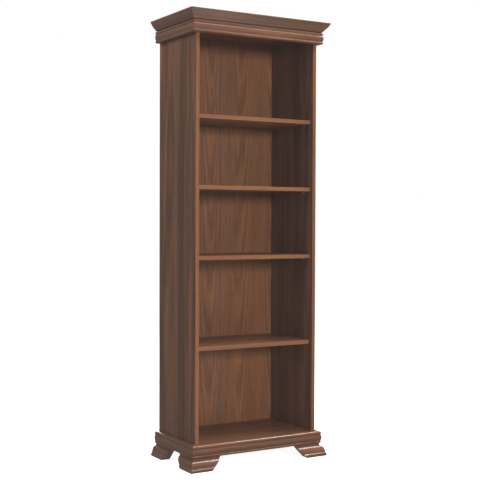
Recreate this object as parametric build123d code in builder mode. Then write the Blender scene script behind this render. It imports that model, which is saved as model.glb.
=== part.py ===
from build123d import *
import os

# Bookcase with four adjustable shelves, an open front, a classic moulded crown and plinth, and
# bracket feet.  Millimetres, +Z up, the open front faces -Y.  The origin is on the floor, under
# the centre of the whole object's outline.

# ---------------------------------------------------------------- driving dimensions
CASE_WIDTH = 644.0          # over the two side panels
CASE_DEPTH = 365.0          # side panels, front edging included
BOARD = 18.0                # every main board
EDGING = 1.0                # front edge bands
BACK_THICKNESS = 3.0        # hardboard back
PLINTH_BOTTOM = 58.0        # underside of the plinth, also the foot height
BOTTOM_TOP = 116.0          # upper face of the bottom board
TOP_UNDERSIDE = 1990.0      # lower face of the top board
OVERALL_HEIGHT = 2050.0
MOULDING_HEIGHT = 58.0      # plinth and frieze mouldings
CROWN_OUT = 49.0            # crown's overhang beyond the case

SHELF_TOPS = (1593.0, 1275.0, 957.0, 549.0)     # upper faces of the shelves, top one first
SHELF_SETBACK = 20.0        # shelf front behind the side panels' front
SHELF_END_GAP = 1.0         # play at each end of a shelf
SHELF_BACK_GAP = 1.0        # play behind a shelf

HOLE_PITCH = 32.0           # spacing of the shelf support holes
HOLES_EACH_WAY = 3          # spare holes above and below each shelf's own hole
HOLE_COLUMN_INSET = 50.0    # hole columns from the shelf's front and from the back
SUPPORT_HOLE_RADIUS = 2.5
SUPPORT_HOLE_DEPTH = 11.0
SUPPORT_PIN_RADIUS = 2.45
SUPPORT_PIN_DROP = 4.0      # hole centre below the shelf's underside
FACE_PLAY = 0.3             # between a support's collar and the side panel

DOWEL_RADIUS = 4.0
DOWEL_LENGTH = 32.0
DOWEL_IN_SIDE = 12.0        # length of a dowel that sits in the side panel
SMALL_DOWEL_RADIUS = 3.0
SMALL_DOWEL_LENGTH = 20.0   # half of it in the case, half in the moulding
BORE_PLAY = 0.05            # radial play of dowels in their bores
END_PLAY = 0.5              # bore deeper than what it holds

CAM_RADIUS = 7.5
CAM_DEPTH = 12.5
CAM_INSET = 34.0            # cam centre from the board's end
BOLT_RADIUS = 3.0
BOLT_BORE_RADIUS = 3.5
BOLT_THREAD_RADIUS = 2.5
BOLT_THREAD_LENGTH = 11.0

FOOT_OUT = 42.8             # foot's toe beyond the case
FOOT_INSIDE = 4.0           # foot bracket's back face inside the case's outer faces
FOOT_RUN = 65.0             # inner end of a foot at the floor, from the case's corner
REAR_FOOT_RUN = 104.0       # the same along the side for the rear feet
FOOT_BLOCK = 44.0           # square corner block behind the front brackets
REAR_BLOCK = (22.0, 60.0)   # width and depth of the block behind a rear bracket
GLIDE_HEIGHT = 4.0
GLIDE_RADIUS = 11.0

STRIP_WIDTH = 16.0          # joint strip between the two back panels
STRIP_FLANGE = 1.0
STRIP_WEB = 2.0
STRIP_PLAY = 0.1            # strip flange to back panel

SCREW_RADIUS = 2.0
SCREW_HEAD_RADIUS = 4.0
SCREW_HEAD_HEIGHT = 2.3     # an 82 degree countersink
NAIL_RADIUS = 0.8
NAIL_HEAD_RADIUS = 2.0
NAIL_HEAD_HEIGHT = 0.5
NAIL_LENGTH = 18.0
STEEL = 2.0                 # sheet thickness of the brackets

# ---------------------------------------------------------------- places worked out from them
HALF_CASE = CASE_WIDTH / 2
INNER_X = HALF_CASE - BOARD                       # inner face of a side panel
STRIP_BACK = BACK_THICKNESS + STRIP_PLAY + STRIP_FLANGE
OVERALL_DEPTH = CROWN_OUT + CASE_DEPTH + STRIP_BACK
CASE_FRONT = -OVERALL_DEPTH / 2 + CROWN_OUT
CASE_BACK = CASE_FRONT + CASE_DEPTH
SIDE_BOTTOM = PLINTH_BOTTOM
SIDE_TOP = TOP_UNDERSIDE + BOARD
BOTTOM_UNDERSIDE = BOTTOM_TOP - BOARD
FRIEZE_BOTTOM = SIDE_TOP - MOULDING_HEIGHT
CROWN_HEIGHT = OVERALL_HEIGHT - SIDE_TOP
SHELF_FRONT = CASE_FRONT + SHELF_SETBACK
SHELF_BACK = CASE_BACK - STRIP_PLAY - STRIP_FLANGE - SHELF_BACK_GAP
SHELF_HALF = INNER_X - SHELF_END_GAP
HOLE_COLUMNS = (SHELF_FRONT + HOLE_COLUMN_INSET, CASE_BACK - HOLE_COLUMN_INSET)
CAM_ROWS = (CASE_FRONT + 60, CASE_BACK - 60)
DOWEL_ROWS = (CASE_FRONT + 100, CASE_BACK - 100)
RAIL_ROWS = (CASE_FRONT + BOARD / 2, CASE_BACK - BOARD / 2)
RAIL_DOWEL_HEIGHTS = (PLINTH_BOTTOM + 10, PLINTH_BOTTOM + 30)
BOARD_MIDDLES = (BOTTOM_TOP - BOARD / 2, TOP_UNDERSIDE + BOARD / 2)
SIDE_MOULDING_ROWS = (CASE_FRONT + 75, (CASE_FRONT + CASE_BACK) / 2, CASE_BACK - 75)
SIDE_MOULDING_HEIGHTS = (PLINTH_BOTTOM + 22, FRIEZE_BOTTOM + 20)
FRONT_MOULDING_COLUMNS = (-200, 0, 200)
CROWN_FRONT_SCREWS = [(x, CASE_FRONT + 14) for x in (-220, -75, 75, 220)]
CROWN_SIDE_SCREWS = [(x, y) for x in (5 - INNER_X, INNER_X - 5)
                     for y in (CASE_FRONT + 150, CASE_BACK - 150)]
WALL_BRACKET_X = 220.0

LEFT_INNER = Plane(origin=(-INNER_X, 0, 0), x_dir=(0, 1, 0), z_dir=(1, 0, 0))
LEFT_OUTER = Plane(origin=(-HALF_CASE, 0, 0), x_dir=(0, -1, 0), z_dir=(-1, 0, 0))
FRONT_EDGE = Plane(origin=(0, CASE_FRONT, 0), x_dir=(1, 0, 0), z_dir=(0, -1, 0))
BACK_EDGE = Plane(origin=(0, CASE_BACK, 0), x_dir=(-1, 0, 0), z_dir=(0, 1, 0))
FRONT_LEFT_MITRE = Plane(origin=(-HALF_CASE, CASE_FRONT, 0), z_dir=(1, -1, 0))
FRONT_RIGHT_MITRE = Plane(origin=(HALF_CASE, CASE_FRONT, 0), z_dir=(-1, -1, 0))

os.makedirs("parts", exist_ok=True)


def save(piece, name):
    """Label a finished piece and write it to its own STEP file."""
    piece.part.label = name
    export_step(piece.part, f"parts/{name}.step")


def save_mirrored(piece, name):
    """Write the left-right mirror image of a finished piece."""
    with BuildPart() as twin:
        mirror(piece.part, about=Plane.YZ)
    save(twin, name)


def block(low, high):
    """A plain board between two opposite corners."""
    with BuildPart() as piece:
        with BuildSketch(Plane.XY.offset(low[2])):
            with Locations(((low[0] + high[0]) / 2, (low[1] + high[1]) / 2)):
                Rectangle(high[0] - low[0], high[1] - low[1])
        extrude(amount=high[2] - low[2])
    return piece.part


def screw(length):
    """A countersunk screw along -Z, its head's flat face at the origin."""
    with BuildPart() as piece:
        with BuildSketch(Plane.XZ):
            with BuildLine():
                Polyline((0, 0), (SCREW_HEAD_RADIUS, 0), (SCREW_RADIUS, -SCREW_HEAD_HEIGHT),
                         (SCREW_RADIUS, 3 - length), (0, -length), close=True)
            make_face()
        revolve(axis=Axis.Z)
    return piece.part


# ---------------------------------------------------------------- moulding sections
# Each section is drawn with x as the distance out from the case and y as the height.
def case_moulding_section():
    """Plinth and frieze: a small bead, a wide shallow swell and a round nosing on top."""
    with BuildSketch() as section:
        with BuildLine():
            Polyline((0, MOULDING_HEIGHT), (0, 0), (17, 0), (20, 2))
            ThreePointArc((20, 2), (23.6, 6.8), (21, 11.5))
            Polyline((21, 11.5), (20.4, 12.8), (21.6, 14.5))
            ThreePointArc((21.6, 14.5), (24.8, 27.5), (21.4, 40.5))
            Polyline((21.4, 40.5), (20, 42), (22.2, 44))
            ThreePointArc((22.2, 44), (22.6, 51.5), (15, 57.2))
            Polyline((15, 57.2), (11, MOULDING_HEIGHT), (0, MOULDING_HEIGHT))
        make_face()
    return section.sketch


def crown_section():
    """Crown: a ledge on the case top, a sloping base, a full ovolo and a thin top fillet."""
    with BuildSketch() as section:
        with BuildLine():
            Polyline((-28, 0), (21.5, 0), (22.6, 1), (27, 8))
            ThreePointArc((27, 8), (38.6, 20), (46.8, 34))
            Polyline((46.8, 34), (48.2, 35.4), (CROWN_OUT, 37.4), (CROWN_OUT, CROWN_HEIGHT - 1.2),
                     (CROWN_OUT - 1.2, CROWN_HEIGHT), (22, CROWN_HEIGHT), (-12, 18), (-28, 18), (-28, 0))
        make_face()
    return section.sketch


def foot_section():
    """Bracket foot: a short neck, a round shoulder, a nearly upright face and a toe bead."""
    with BuildSketch() as section:
        with BuildLine():
            Polyline((-FOOT_INSIDE, PLINTH_BOTTOM), (-FOOT_INSIDE, 0), (39.6, 0))
            ThreePointArc((39.6, 0), (FOOT_OUT, 7.6), (39.4, 15))
            Line((39.4, 15), (37.8, 16))
            ThreePointArc((37.8, 16), (36.8, 22.5), (35.6, 29))
            ThreePointArc((35.6, 29), (29.2, 41.8), (17.4, 49.6))
            ThreePointArc((17.4, 49.6), (16.2, 53.4), (16.8, PLINTH_BOTTOM))
            Line((16.8, PLINTH_BOTTOM), (-FOOT_INSIDE, PLINTH_BOTTOM))
        make_face()
    return section.sketch


def front_run(section, height):
    """A section run along the whole front, mitred at both corners."""
    reach = HALF_CASE + CROWN_OUT + 5
    with BuildPart() as piece:
        with BuildSketch(Plane(origin=(0, CASE_FRONT, height), x_dir=(0, -1, 0), z_dir=(-1, 0, 0))):
            add(section)
        extrude(amount=reach, both=True)
        split(bisect_by=FRONT_LEFT_MITRE, keep=Keep.TOP)
        split(bisect_by=FRONT_RIGHT_MITRE, keep=Keep.TOP)
    return piece.part


def left_run(section, height):
    """A section run along the left side, mitred in front and square at the back."""
    start = CASE_FRONT - CROWN_OUT - 5
    with BuildPart() as piece:
        with BuildSketch(Plane(origin=(-HALF_CASE, start, height), x_dir=(-1, 0, 0), z_dir=(0, 1, 0))):
            add(section)
        extrude(amount=CASE_BACK - start)
        split(bisect_by=FRONT_LEFT_MITRE, keep=Keep.BOTTOM)
    return piece.part


# ---------------------------------------------------------------- side panels
with BuildPart() as left_side_panel:
    add(block((-HALF_CASE, CASE_FRONT + EDGING, SIDE_BOTTOM), (-INNER_X, CASE_BACK, SIDE_TOP)))
    with Locations(LEFT_INNER):
        for shelf_top in SHELF_TOPS:
            own_hole = shelf_top - BOARD - SUPPORT_PIN_DROP
            steps = range(-HOLES_EACH_WAY, HOLES_EACH_WAY + 1)
            with Locations(*[(y, own_hole + step * HOLE_PITCH) for y in HOLE_COLUMNS for step in steps]):
                Hole(SUPPORT_HOLE_RADIUS, SUPPORT_HOLE_DEPTH)
        with Locations(*[(y, z) for y in DOWEL_ROWS for z in BOARD_MIDDLES],
                       *[(y, z) for y in RAIL_ROWS for z in RAIL_DOWEL_HEIGHTS]):
            Hole(DOWEL_RADIUS + BORE_PLAY, DOWEL_IN_SIDE + END_PLAY)
        with Locations(*[(y, z) for y in CAM_ROWS for z in BOARD_MIDDLES]):
            Hole(BOLT_THREAD_RADIUS + BORE_PLAY, BOLT_THREAD_LENGTH + END_PLAY)
    with Locations(LEFT_OUTER):
        with Locations(*[(-y, z) for y in SIDE_MOULDING_ROWS for z in SIDE_MOULDING_HEIGHTS]):
            Hole(SMALL_DOWEL_RADIUS + BORE_PLAY, SMALL_DOWEL_LENGTH / 2)
save(left_side_panel, "left_side_panel")
save_mirrored(left_side_panel, "right_side_panel")

with BuildPart() as left_side_front_edge:
    add(block((-HALF_CASE, CASE_FRONT, SIDE_BOTTOM), (-INNER_X, CASE_FRONT + EDGING, SIDE_TOP)))
save(left_side_front_edge, "left_side_front_edge")
save_mirrored(left_side_front_edge, "right_side_front_edge")


# ---------------------------------------------------------------- top and bottom boards
def cross_board(underside, cam_plane):
    """A board between the side panels, bored for dowels, bolts and cams."""
    middle = underside + BOARD / 2
    with BuildPart() as piece:
        add(block((-INNER_X, CASE_FRONT, underside), (INNER_X, CASE_BACK, underside + BOARD)))
        for end in (-1, 1):
            end_face = Plane(origin=(end * INNER_X, 0, middle), x_dir=(0, end, 0), z_dir=(end, 0, 0))
            with Locations(end_face):
                with Locations(*[(end * y, 0) for y in DOWEL_ROWS]):
                    Hole(DOWEL_RADIUS + BORE_PLAY, DOWEL_LENGTH - DOWEL_IN_SIDE + END_PLAY)
                with Locations(*[(end * y, 0) for y in CAM_ROWS]):
                    Hole(BOLT_BORE_RADIUS, CAM_INSET)
        with Locations(cam_plane):
            with Locations(*[(x, y) for x in (CAM_INSET - INNER_X, INNER_X - CAM_INSET) for y in CAM_ROWS]):
                Hole(CAM_RADIUS, CAM_DEPTH + END_PLAY)
        with Locations(FRONT_EDGE):
            with Locations(*[(x, middle) for x in FRONT_MOULDING_COLUMNS]):
                Hole(SMALL_DOWEL_RADIUS + BORE_PLAY, SMALL_DOWEL_LENGTH / 2)
    return piece.part


with BuildPart() as bottom_board:
    underside_up = Plane(origin=(0, 0, BOTTOM_UNDERSIDE), x_dir=(-1, 0, 0), z_dir=(0, 0, -1))
    add(cross_board(BOTTOM_UNDERSIDE, underside_up))
save(bottom_board, "bottom_board")

with BuildPart() as top_board:
    add(cross_board(TOP_UNDERSIDE, Plane.XY.offset(SIDE_TOP)))
    for x, y in CROWN_FRONT_SCREWS + CROWN_SIDE_SCREWS:
        with Locations(Plane(origin=(x, y, TOP_UNDERSIDE), z_dir=(0, 0, -1))):
            CounterSinkHole(SCREW_RADIUS + BORE_PLAY, SCREW_HEAD_RADIUS + BORE_PLAY)
save(top_board, "top_board")


# ---------------------------------------------------------------- base rails
def base_rail(front_y):
    """A rail under the bottom board, standing between the side panels."""
    with BuildPart() as piece:
        add(block((-INNER_X, front_y, PLINTH_BOTTOM), (INNER_X, front_y + BOARD, BOTTOM_UNDERSIDE)))
        for end in (-1, 1):
            end_face = Plane(origin=(end * INNER_X, front_y + BOARD / 2, 0), x_dir=(0, end, 0),
                             z_dir=(end, 0, 0))
            with Locations(end_face):
                with Locations(*[(0, z) for z in RAIL_DOWEL_HEIGHTS]):
                    Hole(DOWEL_RADIUS + BORE_PLAY, DOWEL_LENGTH - DOWEL_IN_SIDE + END_PLAY)
    return piece


save(base_rail(CASE_FRONT), "front_base_rail")
save(base_rail(CASE_BACK - BOARD), "rear_base_rail")


# ---------------------------------------------------------------- back
BACK_BOTTOM = BOTTOM_UNDERSIDE + 1
BACK_TOP = SIDE_TOP - 2
with BuildPart() as left_back_panel:
    add(block((2 - HALF_CASE, CASE_BACK, BACK_BOTTOM),
              (-STRIP_WEB / 2 - STRIP_PLAY, CASE_BACK + BACK_THICKNESS, BACK_TOP)))
save(left_back_panel, "left_back_panel")
save_mirrored(left_back_panel, "right_back_panel")

with BuildPart() as back_joint_strip:
    with BuildSketch(Plane.XY.offset(BOTTOM_TOP + END_PLAY)):
        slot_middle = CASE_BACK + BACK_THICKNESS / 2
        flange_offset = BACK_THICKNESS / 2 + STRIP_PLAY + STRIP_FLANGE / 2
        with Locations((0, slot_middle - flange_offset), (0, slot_middle + flange_offset)):
            Rectangle(STRIP_WIDTH, STRIP_FLANGE)
        with Locations((0, slot_middle)):
            Rectangle(STRIP_WEB, BACK_THICKNESS + 2 * STRIP_PLAY)
    extrude(amount=TOP_UNDERSIDE - BOTTOM_TOP - 2 * END_PLAY)
save(back_joint_strip, "back_joint_strip")

NAILS_UP = 16
NAILS_ACROSS = 6
nail_heights = [BOTTOM_TOP + 14 + step * (TOP_UNDERSIDE - BOTTOM_TOP - 28) / (NAILS_UP - 1)
                for step in range(NAILS_UP)]
nail_columns = [(step + 0.5) * 2 * INNER_X / NAILS_ACROSS - INNER_X for step in range(NAILS_ACROSS)]
nail_places = [(x, z) for x in (BOARD / 2 - HALF_CASE, HALF_CASE - BOARD / 2) for z in nail_heights]
nail_places += [(x, z) for x in nail_columns for z in BOARD_MIDDLES]
with BuildPart() as back_panel_nails:
    with Locations(BACK_EDGE.offset(BACK_THICKNESS)):
        with Locations(*[(-x, z) for x, z in nail_places]):
            Cylinder(NAIL_RADIUS, NAIL_LENGTH, align=(Align.CENTER, Align.CENTER, Align.MAX))
            Cylinder(NAIL_HEAD_RADIUS, NAIL_HEAD_HEIGHT, align=(Align.CENTER, Align.CENTER, Align.MIN))
save(back_panel_nails, "back_panel_nails")


# ---------------------------------------------------------------- plinth, frieze and crown
for place, height, dowel_height in (("plinth", PLINTH_BOTTOM, 0), ("frieze", FRIEZE_BOTTOM, 1)):
    with BuildPart() as front_moulding:
        add(front_run(case_moulding_section(), height))
        with Locations(Plane(origin=(0, CASE_FRONT, 0), x_dir=(-1, 0, 0), z_dir=(0, 1, 0))):
            with Locations(*[(-x, BOARD_MIDDLES[dowel_height]) for x in FRONT_MOULDING_COLUMNS]):
                Hole(SMALL_DOWEL_RADIUS + BORE_PLAY, SMALL_DOWEL_LENGTH / 2)
    save(front_moulding, f"front_{place}_moulding")

    with BuildPart() as left_moulding:
        add(left_run(case_moulding_section(), height))
        with Locations(Plane(origin=(-HALF_CASE, 0, 0), x_dir=(0, 1, 0), z_dir=(1, 0, 0))):
            with Locations(*[(y, SIDE_MOULDING_HEIGHTS[dowel_height]) for y in SIDE_MOULDING_ROWS]):
                Hole(SMALL_DOWEL_RADIUS + BORE_PLAY, SMALL_DOWEL_LENGTH / 2)
    save(left_moulding, f"left_{place}_moulding")
    save_mirrored(left_moulding, f"right_{place}_moulding")

with BuildPart() as front_crown_moulding:
    add(front_run(crown_section(), SIDE_TOP))
save(front_crown_moulding, "front_crown_moulding")

with BuildPart() as left_crown_moulding:
    add(left_run(crown_section(), SIDE_TOP))
save(left_crown_moulding, "left_crown_moulding")
save_mirrored(left_crown_moulding, "right_crown_moulding")

CROWN_LEDGE_TOP = SIDE_TOP + 18
BRACE_OFFSET = 20.0         # middle line of the brace inside the case's outer faces
BRACE_LEG = 60.0
BRACE_WIDTH = 12.0
brace_corner = (-HALF_CASE + BRACE_OFFSET, CASE_FRONT + BRACE_OFFSET)
brace_holes = [(brace_corner[0] + run, brace_corner[1]) for run in (20, 48)]
brace_holes += [(brace_corner[0], brace_corner[1] + run) for run in (20, 48)]
with BuildPart() as crown_corner_braces:
    with BuildSketch(Plane.XY.offset(CROWN_LEDGE_TOP)):
        with Locations((brace_corner[0] - BRACE_WIDTH / 2, brace_corner[1] - BRACE_WIDTH / 2)):
            Rectangle(BRACE_LEG, BRACE_WIDTH, align=(Align.MIN, Align.MIN))
            Rectangle(BRACE_WIDTH, BRACE_LEG, align=(Align.MIN, Align.MIN))
        with Locations(*brace_holes):
            Circle(SCREW_RADIUS + BORE_PLAY, mode=Mode.SUBTRACT)
    extrude(amount=STEEL)
    mirror(about=Plane.YZ)
save(crown_corner_braces, "crown_corner_braces")


# ---------------------------------------------------------------- feet
TOE_CUT_NORMAL = 1.0        # the inner ends of the feet lean at 45 degrees


def front_foot_front():
    """Front face of the front left foot: mitred at the corner, cut back at its inner end."""
    cut = Plane(origin=(FOOT_RUN - HALF_CASE, 0, 0), z_dir=(1, 0, -TOE_CUT_NORMAL))
    with BuildPart() as piece:
        with BuildSketch(Plane(origin=(-HALF_CASE - 60, CASE_FRONT, 0), x_dir=(0, 1, 0), z_dir=(1, 0, 0))):
            mirror(foot_section(), about=Plane.YZ)
        extrude(amount=200)
        split(bisect_by=FRONT_LEFT_MITRE, keep=Keep.TOP)
        split(bisect_by=cut, keep=Keep.BOTTOM)
    return piece


def foot_side(mitre, cut, keep_cut):
    """Side face of a left foot, between its mitre or square end and its leaning cut."""
    with BuildPart() as piece:
        start = CASE_FRONT - 60
        with BuildSketch(Plane(origin=(-HALF_CASE, start, 0), x_dir=(-1, 0, 0), z_dir=(0, 1, 0))):
            add(foot_section())
        extrude(amount=CASE_BACK - start)
        if mitre:
            split(bisect_by=FRONT_LEFT_MITRE, keep=Keep.BOTTOM)
        split(bisect_by=cut, keep=keep_cut)
    return piece


front_cut = Plane(origin=(0, CASE_FRONT + FOOT_RUN, 0), z_dir=(0, 1, -TOE_CUT_NORMAL))
rear_cut = Plane(origin=(0, CASE_BACK - REAR_FOOT_RUN, 0), z_dir=(0, 1, TOE_CUT_NORMAL))
foot_pieces = {
    "front_{}_foot_front": front_foot_front(),
    "front_{}_foot_side": foot_side(True, front_cut, Keep.BOTTOM),
    "rear_{}_foot_side": foot_side(False, rear_cut, Keep.TOP),
}

FOOT_INNER = HALF_CASE - FOOT_INSIDE
BLOCK_EDGE = 7.0            # screws from the block's outer faces
front_block_y = CASE_FRONT + FOOT_INSIDE
rear_block_y = CASE_BACK - REAR_BLOCK[1]
front_screw_places = [(-FOOT_INNER + BLOCK_EDGE, front_block_y + 38),
                      (-FOOT_INNER + 38, front_block_y + BLOCK_EDGE)]
rear_screw_places = [(-FOOT_INNER + BLOCK_EDGE, rear_block_y + 10)]


def foot_block(low_y, width, depth, screw_places):
    """Block behind a left foot's brackets, countersunk from below for its screws."""
    with BuildPart() as piece:
        add(block((-FOOT_INNER, low_y, GLIDE_HEIGHT), (-FOOT_INNER + width, low_y + depth, PLINTH_BOTTOM)))
        for x, y in screw_places:
            with Locations(Plane(origin=(x, y, GLIDE_HEIGHT), z_dir=(0, 0, -1))):
                CounterSinkHole(SCREW_RADIUS + BORE_PLAY, SCREW_HEAD_RADIUS + BORE_PLAY)
    return piece


foot_pieces["front_{}_foot_block"] = foot_block(front_block_y, FOOT_BLOCK, FOOT_BLOCK, front_screw_places)
foot_pieces["rear_{}_foot_block"] = foot_block(rear_block_y, *REAR_BLOCK, rear_screw_places)
for name, piece in foot_pieces.items():
    save(piece, name.format("left"))
    save_mirrored(piece, name.format("right"))

with BuildPart() as foot_screws:
    for x, y in front_screw_places + rear_screw_places:
        with Locations(Plane(origin=(x, y, GLIDE_HEIGHT), z_dir=(0, 0, -1))):
            add(screw(78))
    mirror(about=Plane.YZ)
save(foot_screws, "foot_screws")

glide_places = [(FOOT_INNER - FOOT_BLOCK / 2 - 4, front_block_y + FOOT_BLOCK / 2 + 4),
                (FOOT_INNER - REAR_BLOCK[0] / 2, CASE_BACK - 24)]
with BuildPart() as foot_glides:
    with Locations(*[(side * x, y, 0) for side in (-1, 1) for x, y in glide_places]):
        Cylinder(GLIDE_RADIUS, GLIDE_HEIGHT, align=(Align.CENTER, Align.CENTER, Align.MIN))
    chamfer(foot_glides.edges().group_by(Axis.Z)[0], 1.0)
save(foot_glides, "foot_glides")


# ---------------------------------------------------------------- joinery
with BuildPart() as carcass_dowels:
    dowel_middle = INNER_X - DOWEL_LENGTH / 2 + DOWEL_IN_SIDE
    dowel_spots = [(y, z) for y in DOWEL_ROWS for z in BOARD_MIDDLES]
    dowel_spots += [(y, z) for y in RAIL_ROWS for z in RAIL_DOWEL_HEIGHTS]
    with Locations(*[(x, y, z) for x in (-dowel_middle, dowel_middle) for y, z in dowel_spots]):
        Cylinder(DOWEL_RADIUS, DOWEL_LENGTH, rotation=(0, 90, 0))
    chamfer(carcass_dowels.edges().filter_by(GeomType.CIRCLE), 1.0)
save(carcass_dowels, "carcass_dowels")

with BuildPart() as moulding_dowels:
    with Locations(*[(x, CASE_FRONT, z) for x in FRONT_MOULDING_COLUMNS for z in BOARD_MIDDLES]):
        Cylinder(SMALL_DOWEL_RADIUS, SMALL_DOWEL_LENGTH, rotation=(90, 0, 0))
    with Locations(*[(x, y, z) for x in (-HALF_CASE, HALF_CASE) for y in SIDE_MOULDING_ROWS
                     for z in SIDE_MOULDING_HEIGHTS]):
        Cylinder(SMALL_DOWEL_RADIUS, SMALL_DOWEL_LENGTH, rotation=(0, 90, 0))
    chamfer(moulding_dowels.edges().filter_by(GeomType.CIRCLE), 0.8)
save(moulding_dowels, "moulding_dowels")


def cam_bolt():
    """A connecting bolt along +X: thread from the origin, then shank, neck and head."""
    with BuildPart() as piece:
        with BuildSketch(Plane.XY):
            with BuildLine():
                Polyline((-BOLT_THREAD_LENGTH, 0), (-BOLT_THREAD_LENGTH, BOLT_THREAD_RADIUS),
                         (0, BOLT_THREAD_RADIUS), (0, BOLT_RADIUS), (CAM_INSET - 6, BOLT_RADIUS),
                         (CAM_INSET - 6, 1.6), (CAM_INSET - 2, 1.6), (CAM_INSET - 2, BOLT_RADIUS),
                         (CAM_INSET + 1, BOLT_RADIUS), (CAM_INSET + 1, 0), close=True)
            make_face()
        revolve(axis=Axis.X)
    return piece.part


with BuildPart() as cam_bolts:
    for y in CAM_ROWS:
        for z in BOARD_MIDDLES:
            with Locations((-INNER_X, y, z)):
                add(cam_bolt())
    mirror(about=Plane.YZ)
save(cam_bolts, "cam_bolts")


def cam_lock():
    """A cam along -Z from its slotted face: a drum with a channel for the bolt's head."""
    bolt_depth = BOARD / 2
    with BuildPart() as piece:
        Cylinder(CAM_RADIUS - BORE_PLAY, CAM_DEPTH, align=(Align.CENTER, Align.CENTER, Align.MAX))
        with Locations((-CAM_RADIUS, 0, -bolt_depth)):
            Cylinder(BOLT_RADIUS + 0.6, CAM_RADIUS + 4, rotation=(0, 90, 0),
                     align=(Align.CENTER, Align.CENTER, Align.MIN), mode=Mode.SUBTRACT)
        Box(9, 1.4, 4, mode=Mode.SUBTRACT)
        Box(1.4, 9, 4, mode=Mode.SUBTRACT)
    return piece.part


with BuildPart() as cam_locks:
    for y in CAM_ROWS:
        with Locations(Plane(origin=(CAM_INSET - INNER_X, y, SIDE_TOP))):
            add(cam_lock())
        with Locations(Plane(origin=(CAM_INSET - INNER_X, y, BOTTOM_UNDERSIDE), x_dir=(1, 0, 0),
                             z_dir=(0, 0, -1))):
            add(cam_lock())
    mirror(about=Plane.YZ)
save(cam_locks, "cam_locks")

with BuildPart() as crown_screws:
    for x, y in CROWN_FRONT_SCREWS + CROWN_SIDE_SCREWS:
        with Locations(Plane(origin=(x, y, TOP_UNDERSIDE), z_dir=(0, 0, -1))):
            add(screw(32))
save(crown_screws, "crown_screws")

with BuildPart() as crown_brace_screws:
    for x, y in brace_holes:
        with Locations((x, y, CROWN_LEDGE_TOP + STEEL + SCREW_HEAD_HEIGHT)):
            add(screw(16))
    mirror(about=Plane.YZ)
save(crown_brace_screws, "crown_brace_screws")


# ---------------------------------------------------------------- wall brackets
WALL_BRACKET_WIDTH = 30.0
WALL_BRACKET_FOOT = 40.0
WALL_BRACKET_RISE = 34.0
WALL_HOLE_RADIUS = 3.0
WALL_HOLE_HEIGHT = SIDE_TOP + 20
bracket_screw_rows = (CASE_BACK - 14, CASE_BACK - 30)
with BuildPart() as wall_brackets:
    with BuildSketch(Plane(origin=(-WALL_BRACKET_X, CASE_BACK, SIDE_TOP), x_dir=(0, 1, 0), z_dir=(1, 0, 0))):
        with BuildLine():
            Polyline((-WALL_BRACKET_FOOT, 0), (STEEL, 0), (STEEL, WALL_BRACKET_RISE),
                     (0, WALL_BRACKET_RISE), (0, STEEL), (-WALL_BRACKET_FOOT, STEEL), close=True)
        make_face()
    extrude(amount=WALL_BRACKET_WIDTH / 2, both=True)
    with Locations(Plane(origin=(-WALL_BRACKET_X, CASE_BACK + STEEL, WALL_HOLE_HEIGHT), z_dir=(0, 1, 0))):
        Hole(WALL_HOLE_RADIUS, STEEL)
    with Locations(*[(-WALL_BRACKET_X, y, SIDE_TOP + STEEL) for y in bracket_screw_rows]):
        Hole(SCREW_RADIUS + BORE_PLAY, STEEL)
    mirror(about=Plane.YZ)
save(wall_brackets, "wall_brackets")

with BuildPart() as wall_bracket_screws:
    for y in bracket_screw_rows:
        with Locations((-WALL_BRACKET_X, y, SIDE_TOP + STEEL + SCREW_HEAD_HEIGHT)):
            add(screw(18))
    mirror(about=Plane.YZ)
save(wall_bracket_screws, "wall_bracket_screws")


# ---------------------------------------------------------------- shelves and their supports
TONGUE_LENGTH = 9.0
TONGUE_WIDTH = 10.0
TONGUE_THICKNESS = 2.0
COLLAR_RADIUS = 3.8
COLLAR_THICKNESS = 1.2
GUSSET_WIDTH = 2.4


def shelf_support():
    """Left support: pin along -X from the panel face at the origin, tongue under the shelf."""
    underside = SUPPORT_PIN_DROP
    with BuildPart() as piece:
        with Locations((FACE_PLAY, 0, 0)):
            Cylinder(SUPPORT_PIN_RADIUS, SUPPORT_HOLE_DEPTH - 1 + FACE_PLAY, rotation=(0, -90, 0),
                     align=(Align.CENTER, Align.CENTER, Align.MIN))
            Cylinder(COLLAR_RADIUS, COLLAR_THICKNESS, rotation=(0, 90, 0),
                     align=(Align.CENTER, Align.CENTER, Align.MIN))
        with Locations((FACE_PLAY, 0, underside)):
            Box(TONGUE_LENGTH, TONGUE_WIDTH, TONGUE_THICKNESS,
                align=(Align.MIN, Align.CENTER, Align.MAX))
        with BuildSketch(Plane.XZ):
            with BuildLine():
                Polyline((FACE_PLAY, -COLLAR_RADIUS + 1), (FACE_PLAY + 1, -COLLAR_RADIUS + 1),
                         (TONGUE_LENGTH - 1, underside - TONGUE_THICKNESS / 2),
                         (FACE_PLAY, underside - TONGUE_THICKNESS / 2), close=True)
            make_face()
        extrude(amount=GUSSET_WIDTH / 2, both=True)
        chamfer(piece.faces().sort_by(Axis.X)[0].edges(), 0.5)
    return piece.part


support = shelf_support()
for number, shelf_top in enumerate(SHELF_TOPS, start=1):
    with BuildPart() as shelf_board:
        add(block((-SHELF_HALF, SHELF_FRONT + EDGING, shelf_top - BOARD),
                  (SHELF_HALF, SHELF_BACK, shelf_top)))
    save(shelf_board, f"shelf_{number}_board")

    with BuildPart() as shelf_edge:
        add(block((-SHELF_HALF, SHELF_FRONT, shelf_top - BOARD),
                  (SHELF_HALF, SHELF_FRONT + EDGING, shelf_top)))
    save(shelf_edge, f"shelf_{number}_front_edge")

    with BuildPart() as shelf_supports:
        with Locations(*[(-INNER_X, y, shelf_top - BOARD - SUPPORT_PIN_DROP) for y in HOLE_COLUMNS]):
            add(support)
        mirror(about=Plane.YZ)
    save(shelf_supports, f"shelf_{number}_supports")
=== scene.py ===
import math

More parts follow.
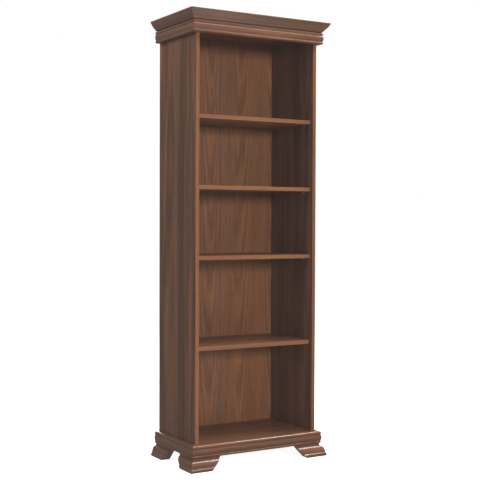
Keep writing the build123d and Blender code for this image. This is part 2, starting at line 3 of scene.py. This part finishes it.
import bmesh
import bpy
from mathutils import Matrix, Vector


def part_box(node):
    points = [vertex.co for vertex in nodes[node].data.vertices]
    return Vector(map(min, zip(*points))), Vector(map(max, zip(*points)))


# The looks of a walnut bookcase with four adjustable shelves.  Metres, in the CAD frame: the open
# front faces -Y and the floor is z = 0.

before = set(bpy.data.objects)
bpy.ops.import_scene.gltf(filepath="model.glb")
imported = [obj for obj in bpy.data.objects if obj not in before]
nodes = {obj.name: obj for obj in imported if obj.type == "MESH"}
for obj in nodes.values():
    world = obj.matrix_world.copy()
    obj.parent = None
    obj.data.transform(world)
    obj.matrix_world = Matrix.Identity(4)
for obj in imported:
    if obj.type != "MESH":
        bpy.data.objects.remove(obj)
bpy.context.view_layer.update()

MM = 0.001
case_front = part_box("left_side_front_edge")[0].y
case_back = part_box("left_side_panel")[1].y


# ---------------------------------------------------------------- camera
CAMERA_PLACE = Vector((-2.4536, -4.1784, 1.1185))
CAMERA_YAW = math.radians(30.427)       # to the right of +Y
CAMERA_DIP = math.radians(1.106)        # below the horizon
CAMERA_ROLL = math.radians(0.194)
CAMERA_LENS = 76.82
SENSOR_WIDTH = 36


def make_camera():
    forward = Vector((math.sin(CAMERA_YAW) * math.cos(CAMERA_DIP),
                      math.cos(CAMERA_YAW) * math.cos(CAMERA_DIP),
                      -math.sin(CAMERA_DIP)))
    level = Vector((math.cos(CAMERA_YAW), -math.sin(CAMERA_YAW), 0))
    upright = level.cross(forward)
    right = math.cos(CAMERA_ROLL) * level + math.sin(CAMERA_ROLL) * upright
    up = math.cos(CAMERA_ROLL) * upright - math.sin(CAMERA_ROLL) * level
    data = bpy.data.cameras.new("camera")
    data.sensor_width = SENSOR_WIDTH
    data.lens = CAMERA_LENS
    data.clip_start = 0.1
    data.clip_end = 100
    camera = bpy.data.objects.new("camera", data)
    turn = Matrix((right, up, -forward)).transposed()
    camera.matrix_world = Matrix.Translation(CAMERA_PLACE) @ turn.to_4x4()
    bpy.context.scene.collection.objects.link(camera)
    bpy.context.scene.camera = camera


make_camera()


# ---------------------------------------------------------------- shader helpers
class Shader:
    """A material's node tree, with short calls for the nodes that the finishes share."""

    def __init__(self, name):
        self.material = bpy.data.materials.new(name)
        self.material.use_nodes = True
        self.tree = self.material.node_tree
        self.surface = self.tree.nodes["Principled BSDF"]

    def node(self, kind, **settings):
        made = self.tree.nodes.new(kind)
        for key, value in settings.items():
            setattr(made, key, value)
        return made

    def link(self, source, target):
        self.tree.links.new(source, target)

    def feed(self, socket, value):
        """Sets a socket to a number or a colour, or links another node's output to it."""
        if isinstance(value, (int, float)):
            socket.default_value = value
        elif isinstance(value, tuple):
            socket.default_value = (*value, 1)
        else:
            self.link(value, socket)

    def coordinates(self, stretch=(1, 1, 1), offset=(0, 0, 0)):
        """Object coordinates, squeezed by stretch so that textures draw out along that axis."""
        source = self.node("ShaderNodeTexCoord")
        mapping = self.node("ShaderNodeMapping", vector_type="TEXTURE")
        mapping.inputs["Location"].default_value = offset
        mapping.inputs["Scale"].default_value = stretch
        self.link(source.outputs["Object"], mapping.inputs["Vector"])
        return mapping.outputs["Vector"]

    def place(self, axis):
        """One coordinate of the surface point in the object's own space."""
        source = self.node("ShaderNodeTexCoord")
        split = self.node("ShaderNodeSeparateXYZ")
        self.link(source.outputs["Object"], split.inputs["Vector"])
        return split.outputs[axis]

    def noise(self, vector, scale, detail=2.0, roughness=0.5, distortion=0.0):
        made = self.node("ShaderNodeTexNoise")
        made.inputs["Scale"].default_value = scale
        made.inputs["Detail"].default_value = detail
        made.inputs["Roughness"].default_value = roughness
        made.inputs["Distortion"].default_value = distortion
        self.link(vector, made.inputs["Vector"])
        return made.outputs["Fac"]

    def math(self, operation, *values):
        made = self.node("ShaderNodeMath", operation=operation)
        for socket, value in zip(made.inputs, values):
            self.feed(socket, value)
        return made.outputs[0]

    def spread(self, value, low, high, out_low=0.0, out_high=1.0):
        """Maps low..high to out_low..out_high, held at both ends."""
        made = self.node("ShaderNodeMapRange")
        made.inputs["From Min"].default_value = low
        made.inputs["From Max"].default_value = high
        made.inputs["To Min"].default_value = out_low
        made.inputs["To Max"].default_value = out_high
        self.link(value, made.inputs["Value"])
        return made.outputs["Result"]

    def ramp(self, value, *stops):
        made = self.node("ShaderNodeValToRGB")
        elements = made.color_ramp.elements
        while len(elements) < len(stops):
            elements.new(0.5)
        for element, (place, colour) in zip(elements, stops):
            element.position = place
            element.color = (*colour, 1)
        self.link(value, made.inputs["Fac"])
        return made.outputs["Color"]

    def mix(self, amount, first, second):
        """Mixes two colours.  The node has sockets for each data type: 6, 7 and 2 are the colours."""
        made = self.node("ShaderNodeMix", data_type="RGBA")
        self.feed(made.inputs[0], amount)
        self.feed(made.inputs[6], first)
        self.feed(made.inputs[7], second)
        return made.outputs[2]

    def bump(self, height, strength, distance):
        made = self.node("ShaderNodeBump")
        made.inputs["Strength"].default_value = strength
        made.inputs["Distance"].default_value = distance
        self.link(height, made.inputs["Height"])
        self.link(made.outputs["Normal"], self.surface.inputs["Normal"])


def tinted(colour, amount):
    return tuple(channel * amount for channel in colour)


def greyed(colour, amount):
    """Moves a brown by this share of the way to a grey as bright as its red channel."""
    return tuple(channel + (colour[0] - channel) * amount for channel in colour)


# ---------------------------------------------------------------- wood
# A noise's scale is about how many of its features there are to a metre across the grain.
GRAIN_STRETCH = 20.0            # every pattern is this much longer along the grain than across it
ALONG = {"X": (GRAIN_STRETCH, 1, 1), "Y": (1, GRAIN_STRETCH, 1), "Z": (1, 1, GRAIN_STRETCH)}
SEED_STEP = (0.37, 0.61, 0.23)  # metres that the patterns move from one piece to the next
SWIRL_SCALE = 5.5               # slow swirl that bends the growth rings
FIBRE_SCALE = 95.0
STREAK_SCALE = 24.0
BLOTCH_SCALE = 2.2
PORE_SCALE = 330.0
FIBRE_SHARE = 0.35              # shares of the tone, beside the growth rings' own share
STREAK_SHARE = 0.55
BLOTCH_SHARE = 0.35
PORE_DARKNESS = 0.55
PORE_DULLNESS = 0.12            # what a pore adds to the roughness
COAT_ROUGHNESS = 0.2
PORE_DEPTH = 0.25 * MM

# Growth rings of an upright flat-sawn plank are nested arches, parabolas that stand on its height.
RINGS_PER_SWIRL = 9.0           # rings where the figure only follows the swirl
ARCH_HALF_WIDTH = 0.085         # from an arch's middle to its edge
ARCH_SWAY = 0.09                # metres that a whole swirl shifts an arch sideways
ARCH_RINGS_UP = 4.0             # rings per metre up the middle
ARCH_RINGS_PER_SWIRL = 5.0
ARCH_RINGS_ACROSS = 900.0       # rings per square metre of distance from the middle

# The tall sides have one wide dark streak, which wanders on its way up.
BAND_PLACE = case_front + 0.12
BAND_REACH = 0.035
BAND_WANDER = 0.05
BAND_SCALE = 7.0
BAND_STRENGTH = 0.4

# Behind this plane the back sheets are bare fibre board, with flecks and faint patches.
BARE_BEHIND = case_back + 2.5 * MM
BARE_LIGHT, BARE_DARK, BARE_PATCH = (0.330, 0.198, 0.112), (0.215, 0.122, 0.066), (0.17, 0.095, 0.05)
FLECK_SCALE = 420.0
PATCH_SCALE = 5.0
PATCH_STRENGTH = 0.35
BARE_ROUGHNESS = 0.8


def swirled_rings(shader, swirl):
    """Growth rings that run nearly straight along the grain and bend with the swirl."""
    return shader.math("MULTIPLY", swirl, RINGS_PER_SWIRL)


def arched_rings(shader, swirl):
    """Growth rings as the nested arches of an upright flat-sawn plank."""
    across = shader.math("MULTIPLY_ADD", swirl, ARCH_SWAY, shader.place("X"))
    from_middle = shader.math("PINGPONG", across, ARCH_HALF_WIDTH)
    shifted = shader.math("MULTIPLY", swirl, ARCH_RINGS_PER_SWIRL)
    climb = shader.math("MULTIPLY_ADD", shader.place("Z"), ARCH_RINGS_UP, shifted)
    flank = shader.math("MULTIPLY", shader.math("MULTIPLY", from_middle, from_middle), -ARCH_RINGS_ACROSS)
    return shader.math("ADD", climb, flank)


def dark_band(shader, along, colour, dark):
    """The wide dark streak of a tall side."""
    shift = -BAND_WANDER / 2 - BAND_PLACE
    wander = shader.math("MULTIPLY_ADD", shader.noise(along, BAND_SCALE), BAND_WANDER, shift)
    away = shader.math("ABSOLUTE", shader.math("ADD", shader.place("Y"), wander))
    amount = shader.spread(away, 0.1 * BAND_REACH, BAND_REACH, BAND_STRENGTH, 0.0)
    return shader.mix(amount, colour, tinted(dark, 0.6))


def bare_board(shader, offset, colour, roughness):
    """The unfinished rear face of a back sheet, in place of the foil's colour and roughness."""
    even = shader.coordinates(offset=offset)
    flecks = shader.noise(even, FLECK_SCALE, detail=3.0, roughness=0.7)
    bare = shader.ramp(flecks, (0.3, BARE_DARK), (0.7, BARE_LIGHT))
    patches = shader.spread(shader.noise(even, PATCH_SCALE, detail=3.0, roughness=0.6), 0.35, 0.65)
    bare = shader.mix(shader.math("MULTIPLY", patches, PATCH_STRENGTH), bare, BARE_PATCH)
    behind = shader.math("GREATER_THAN", shader.place("Y"), BARE_BEHIND)
    dull = shader.math("MAXIMUM", roughness, shader.math("MULTIPLY", behind, BARE_ROUGHNESS))
    return shader.mix(behind, colour, bare), dull


def grain_of(name):
    """The axis that a piece's fibres follow, which is the length that it is cut along."""
    if name.endswith("foot_side") or (name.endswith("moulding") and not name.startswith("front")):
        return "Y"
    if name.endswith(("side_panel", "side_front_edge", "back_panel", "block")):
        return "Z"
    return "X"


def wood(name, light, dark, seed, figure=0.5, contrast=1.0, roughness=(0.34, 0.46), coat=0.0,
         specular=0.4, relief=0.25, rings=swirled_rings, band=False, bare_back=False):
    """Wood or walnut foil: growth-ring figure, fibre streaks, open pores and slow changes of tone.

    figure is the growth rings' share of the tone.  contrast moves light and dark away from their
    middle.  rings makes the growth rings out of the swirl.  band adds the dark streak of a tall
    side, and bare_back the unfinished rear face of a back sheet.
    """
    shader = Shader(name)
    offset = tuple(step * seed for step in SEED_STEP)
    along = shader.coordinates(ALONG[grain_of(name)], offset)
    swirl = shader.noise(along, SWIRL_SCALE, detail=3.0, roughness=0.55, distortion=0.35)
    fibre = shader.noise(along, FIBRE_SCALE, detail=4.0, roughness=0.62)
    streak = shader.noise(along, STREAK_SCALE)
    blotch = shader.noise(along, BLOTCH_SCALE, detail=1.0)
    ring = shader.spread(shader.math("PINGPONG", rings(shader, swirl), 0.5), 0.02, 0.42)

    tone = shader.math("MULTIPLY", ring, figure)
    tone = shader.math("MULTIPLY_ADD", shader.spread(fibre, 0.3, 0.7), FIBRE_SHARE, tone)
    tone = shader.math("MULTIPLY_ADD", shader.spread(streak, 0.3, 0.7), STREAK_SHARE, tone)
    tone = shader.math("MULTIPLY_ADD", shader.spread(blotch, 0.25, 0.75), BLOTCH_SHARE, tone)
    most = figure + FIBRE_SHARE + STREAK_SHARE + BLOTCH_SHARE
    tone = shader.spread(tone, 0.12 * most, 0.88 * most)
    middle = tuple((a + b) / 2 for a, b in zip(light, dark))
    low = tuple(m + (d - m) * contrast for m, d in zip(middle, dark))
    high = tuple(m + (l - m) * contrast for m, l in zip(middle, light))
    colour = shader.ramp(tone, (0.0, low), (0.45, middle), (0.8, high), (1.0, tinted(high, 1.12)))
    if band:
        colour = dark_band(shader, along, colour, dark)

    pores = shader.spread(shader.noise(along, PORE_SCALE, detail=1.0, roughness=0.4), 0.6, 0.72)
    colour = shader.mix(shader.math("MULTIPLY", pores, PORE_DARKNESS), colour, tinted(dark, 0.45))
    dull = shader.spread(fibre, 0.3, 0.7, *roughness)
    dull = shader.math("MULTIPLY_ADD", pores, PORE_DULLNESS, dull)
    if bare_back:
        colour, dull = bare_board(shader, offset, colour, dull)

    shader.link(colour, shader.surface.inputs["Base Color"])
    shader.link(dull, shader.surface.inputs["Roughness"])
    shader.surface.inputs["Specular IOR Level"].default_value = specular
    shader.surface.inputs["Coat Weight"].default_value = coat
    shader.surface.inputs["Coat Roughness"].default_value = COAT_ROUGHNESS
    height = shader.math("MULTIPLY_ADD", pores, -1.0, shader.math("MULTIPLY", fibre, 0.35))
    shader.bump(height, strength=relief, distance=PORE_DEPTH)
    return shader.material


BOARD_LIGHT, BOARD_DARK = (0.198, 0.079, 0.035), (0.108, 0.043, 0.018)
EDGE_LIGHT, EDGE_DARK = (0.250, 0.098, 0.038), (0.186, 0.071, 0.026)
MOULDING_LIGHT, MOULDING_DARK = (0.200, 0.079, 0.035), (0.110, 0.043, 0.019)
BACK_LIGHT, BACK_DARK = (0.264, 0.105, 0.041), (0.160, 0.061, 0.024)
TIMBER_LIGHT, TIMBER_DARK = (0.46, 0.31, 0.19), (0.30, 0.19, 0.11)
BEECH_LIGHT, BEECH_DARK = (0.62, 0.44, 0.27), (0.48, 0.32, 0.18)
SAWN_ROUGHNESS = (0.6, 0.75)


def board(name, seed):
    """Sides, shelves, top and bottom.

    The tall sides have the stronger figure and the dark streak.  The left one is the least glossy,
    and the right one is greyed a little as painted sheen, for the pale reflection on its shaded inner
    face.
    """
    tall = name.endswith("side_panel")
    contrast = 1.8 if tall else 1.5
    specular = 0.3 if name == "left_side_panel" else 0.5
    # Painted sheen: greying the right side panel stands in for the pale reflection on its shaded inner
    # face.
    grey = 0.15 if name == "right_side_panel" else 0.0
    return wood(name, greyed(BOARD_LIGHT, grey), greyed(BOARD_DARK, grey), seed, figure=0.6,
                contrast=contrast, specular=specular, band=tall)


def edge(name, seed):
    """The lighter bands on the front edges of the sides and shelves.  The right side's is darker, as
    painted shade.
    """
    # Painted shade: the right side's band is darkened to 0.8 of the others.
    tone = 0.8 if name.startswith("right") else 1.0
    return wood(name, tinted(EDGE_LIGHT, tone), tinted(EDGE_DARK, tone), seed, figure=0.3, specular=0.25)


def moulding(name, seed):
    """Crown, frieze, plinth and feet, which are lacquered."""
    return wood(name, MOULDING_LIGHT, MOULDING_DARK, seed, roughness=(0.26, 0.36), coat=0.35, relief=0.05)


def back_sheet(name, seed):
    return wood(name, BACK_LIGHT, BACK_DARK, seed, figure=0.8, contrast=1.25, specular=0.28,
                rings=arched_rings, bare_back=True)


def timber(name, seed):
    return wood(name, TIMBER_LIGHT, TIMBER_DARK, seed, roughness=SAWN_ROUGHNESS)


def beech(name, seed):
    return wood(name, BEECH_LIGHT, BEECH_DARK, seed, roughness=SAWN_ROUGHNESS)


WOODS = {"walnut_board": board, "walnut_edging": edge, "walnut_moulding": moulding,
         "hardboard_back": back_sheet, "plain_timber": timber, "beech_dowel": beech}


def finish_wood():
    """Gives every wooden node a material of its own, so that no two pieces share a pattern."""
    seed = 1
    for name, node in sorted(nodes.items()):
        make = WOODS.get(node.data.materials[0].name)
        if make:
            node.data.materials[0] = make(name, seed)
            seed += 1


finish_wood()


# ---------------------------------------------------------------- metal and plastic
def metal(name, tone, roughness):
    shader = Shader(name)
    patches = shader.noise(shader.coordinates(), scale=260.0, detail=3.0)
    colour = shader.ramp(patches, (0.3, tinted(tone, 0.78)), (0.7, tone))
    shader.link(colour, shader.surface.inputs["Base Color"])
    shader.surface.inputs["Metallic"].default_value = 1.0
    dull = shader.spread(patches, 0.3, 0.7, roughness, roughness + 0.14)
    shader.link(dull, shader.surface.inputs["Roughness"])
    return shader.material


def plastic(name, tone, roughness):
    shader = Shader(name)
    grain = shader.noise(shader.coordinates(), scale=900.0)
    colour = shader.ramp(grain, (0.3, tinted(tone, 0.85)), (0.7, tone))
    shader.link(colour, shader.surface.inputs["Base Color"])
    dull = shader.spread(grain, 0.3, 0.7, roughness, roughness + 0.1)
    shader.link(dull, shader.surface.inputs["Roughness"])
    shader.bump(grain, strength=0.1, distance=0.2 * MM)
    return shader.material


# Lit and shaded copies of the strip's colours: painted light on the left half, painted shade on the right
# half.
STRIP_LIT_LIGHT, STRIP_LIT_DARK = (0.245, 0.112, 0.068), (0.180, 0.082, 0.050)
STRIP_SHADED_LIGHT, STRIP_SHADED_DARK = (0.172, 0.077, 0.048), (0.128, 0.057, 0.036)


def joint_strip():
    """Brown strip printed to match the back.  Its lit left half and shaded right half are painted light
    and shade.
    """
    shader = Shader("joint_strip_painted_light_and_shade")
    along = shader.coordinates(ALONG["Z"], (0.4, 0.2, 0.7))
    print_tone = shader.noise(along, scale=60.0, detail=3.0)
    light = shader.ramp(print_tone, (0.3, STRIP_LIT_DARK), (0.7, STRIP_LIT_LIGHT))
    # Painted shade: the right half of the strip gets the darker copy of its colours.
    shade = shader.ramp(print_tone, (0.3, STRIP_SHADED_DARK), (0.7, STRIP_SHADED_LIGHT))
    shaded_half_mask = shader.spread(shader.place("X"), -MM, MM)
    shader.link(shader.mix(shaded_half_mask, light, shade), shader.surface.inputs["Base Color"])
    dull = shader.spread(print_tone, 0.3, 0.7, 0.38, 0.5)
    shader.link(dull, shader.surface.inputs["Roughness"])
    shader.surface.inputs["Specular IOR Level"].default_value = 0.3
    return shader.material


def finish_fittings():
    finishes = {"zinc_fitting": metal("zinc", tone=(0.62, 0.60, 0.57), roughness=0.32),
                "steel_hardware": metal("steel", tone=(0.50, 0.50, 0.51), roughness=0.28),
                "brown_plastic": plastic("brown_plastic_finish", tone=(0.13, 0.075, 0.05), roughness=0.42)}
    for node in nodes.values():
        finish = finishes.get(node.data.materials[0].name)
        if finish:
            node.data.materials[0] = finish
    nodes["back_joint_strip"].data.materials[0] = joint_strip()


finish_fittings()


# ---------------------------------------------------------------- soft edges
EDGE_ROUNDING = 0.4 * MM


def soften(node):
    """Rounds a piece's sharp edges by a hair, as sanding does, so that they catch the light.

    The weighted normals keep its large faces flat and its curved ones smooth.
    """
    weld = node.modifiers.new("weld", "WELD")
    weld.merge_threshold = 0.005 * MM
    bevel = node.modifiers.new("soft_edges", "BEVEL")
    bevel.width = EDGE_ROUNDING
    bevel.segments = 2
    bevel.limit_method = "ANGLE"
    bevel.angle_limit = math.radians(40)
    even = node.modifiers.new("even_normals", "WEIGHTED_NORMAL")
    even.mode = "FACE_AREA"
    even.weight = 60


for name, node in nodes.items():
    if name.endswith(("front_edge", "moulding", "foot_front", "foot_side")):
        soften(node)


# ---------------------------------------------------------------- floor, backdrop and light
FLOOR_REACH = 30.0
DOME_RADIUS = 28.0


def glow(name, base, strength, roughness):
    """A matt white that shines by itself, so that it is pale without any light on it."""
    shader = Shader(name)
    shader.surface.inputs["Base Color"].default_value = (base, base, base, 1)
    shader.surface.inputs["Roughness"].default_value = roughness
    shader.surface.inputs["Specular IOR Level"].default_value = 0.0
    shader.surface.inputs["Emission Color"].default_value = (1, 1, 1, 1)
    shader.surface.inputs["Emission Strength"].default_value = strength
    return shader.material


def add_surround(name, data, material):
    """Part of the white surround: the camera sees it, and it throws no light on the object."""
    surround = bpy.data.objects.new(name, data)
    bpy.context.scene.collection.objects.link(surround)
    data.materials.append(material)
    surround.visible_diffuse = False
    surround.visible_glossy = False
    surround.visible_transmission = False
    surround.visible_shadow = False


def make_floor():
    data = bpy.data.meshes.new("floor")
    corners = [(x * FLOOR_REACH, y * FLOOR_REACH, 0) for x, y in ((-1, -1), (1, -1), (1, 1), (-1, 1))]
    data.from_pydata(corners, [], [(0, 1, 2, 3)])
    add_surround("floor", data, glow("pale_floor", base=0.5, strength=0.92, roughness=0.9))


def make_backdrop():
    """A pale dome round everything."""
    data = bpy.data.meshes.new("backdrop")
    dome = bmesh.new()
    bmesh.ops.create_icosphere(dome, subdivisions=4, radius=DOME_RADIUS)
    dome.to_mesh(data)
    dome.free()
    add_surround("backdrop", data, glow("pale_backdrop", base=0.0, strength=1.0, roughness=0.5))


def make_area(name, place, target, size, watts):
    data = bpy.data.lights.new(name, "AREA")
    data.shape = "RECTANGLE"
    data.size, data.size_y = size
    data.energy = watts
    lamp = bpy.data.objects.new(name, data)
    lamp.location = place
    lamp.rotation_mode = "QUATERNION"
    lamp.rotation_quaternion = (Vector(target) - Vector(place)).to_track_quat("-Z", "Y")
    bpy.context.scene.collection.objects.link(lamp)


def make_world(strength):
    world = bpy.data.worlds.new("studio")
    world.use_nodes = True
    background = world.node_tree.nodes["Background"]
    background.inputs["Color"].default_value = (1, 1, 1, 1)
    background.inputs["Strength"].default_value = strength
    bpy.context.scene.world = world


make_floor()
make_backdrop()
make_world(strength=0.26)
make_area("key", place=(-0.2, -6.6, 2.05), target=(0, 0, 1.05), size=(1.6, 1.0), watts=218)
make_area("overhead", place=(2.35, -0.45, 3.9), target=(2.0, -0.4, 0), size=(1.6, 0.6), watts=175)
make_area("top_soft", place=(0.3, -1.3, 4.3), target=(0, -0.3, 0.6), size=(3.0, 2.0), watts=78)
make_area("left_fill", place=(-3.4, 1.2, 4.0), target=(0, 0, 1.2), size=(2.2, 2.2), watts=82)
make_area("floor_bounce", place=(0.3, -1.6, 0.02), target=(0.3, -1.6, 2), size=(2.6, 2.0), watts=16)
make_area("back_fill", place=(1.4, 4.6, 2.4), target=(0, 0.2, 1.0), size=(2.0, 2.0), watts=75)

# The white surround adds a little flare in the lens, which lifts the darkest tones.
LENS_FLARE = 0.015
view = bpy.context.scene.view_settings
view.view_transform = "Standard"
view.use_curve_mapping = True
view.curve_mapping.black_level = (-LENS_FLARE, -LENS_FLARE, -LENS_FLARE)
view.curve_mapping.update()
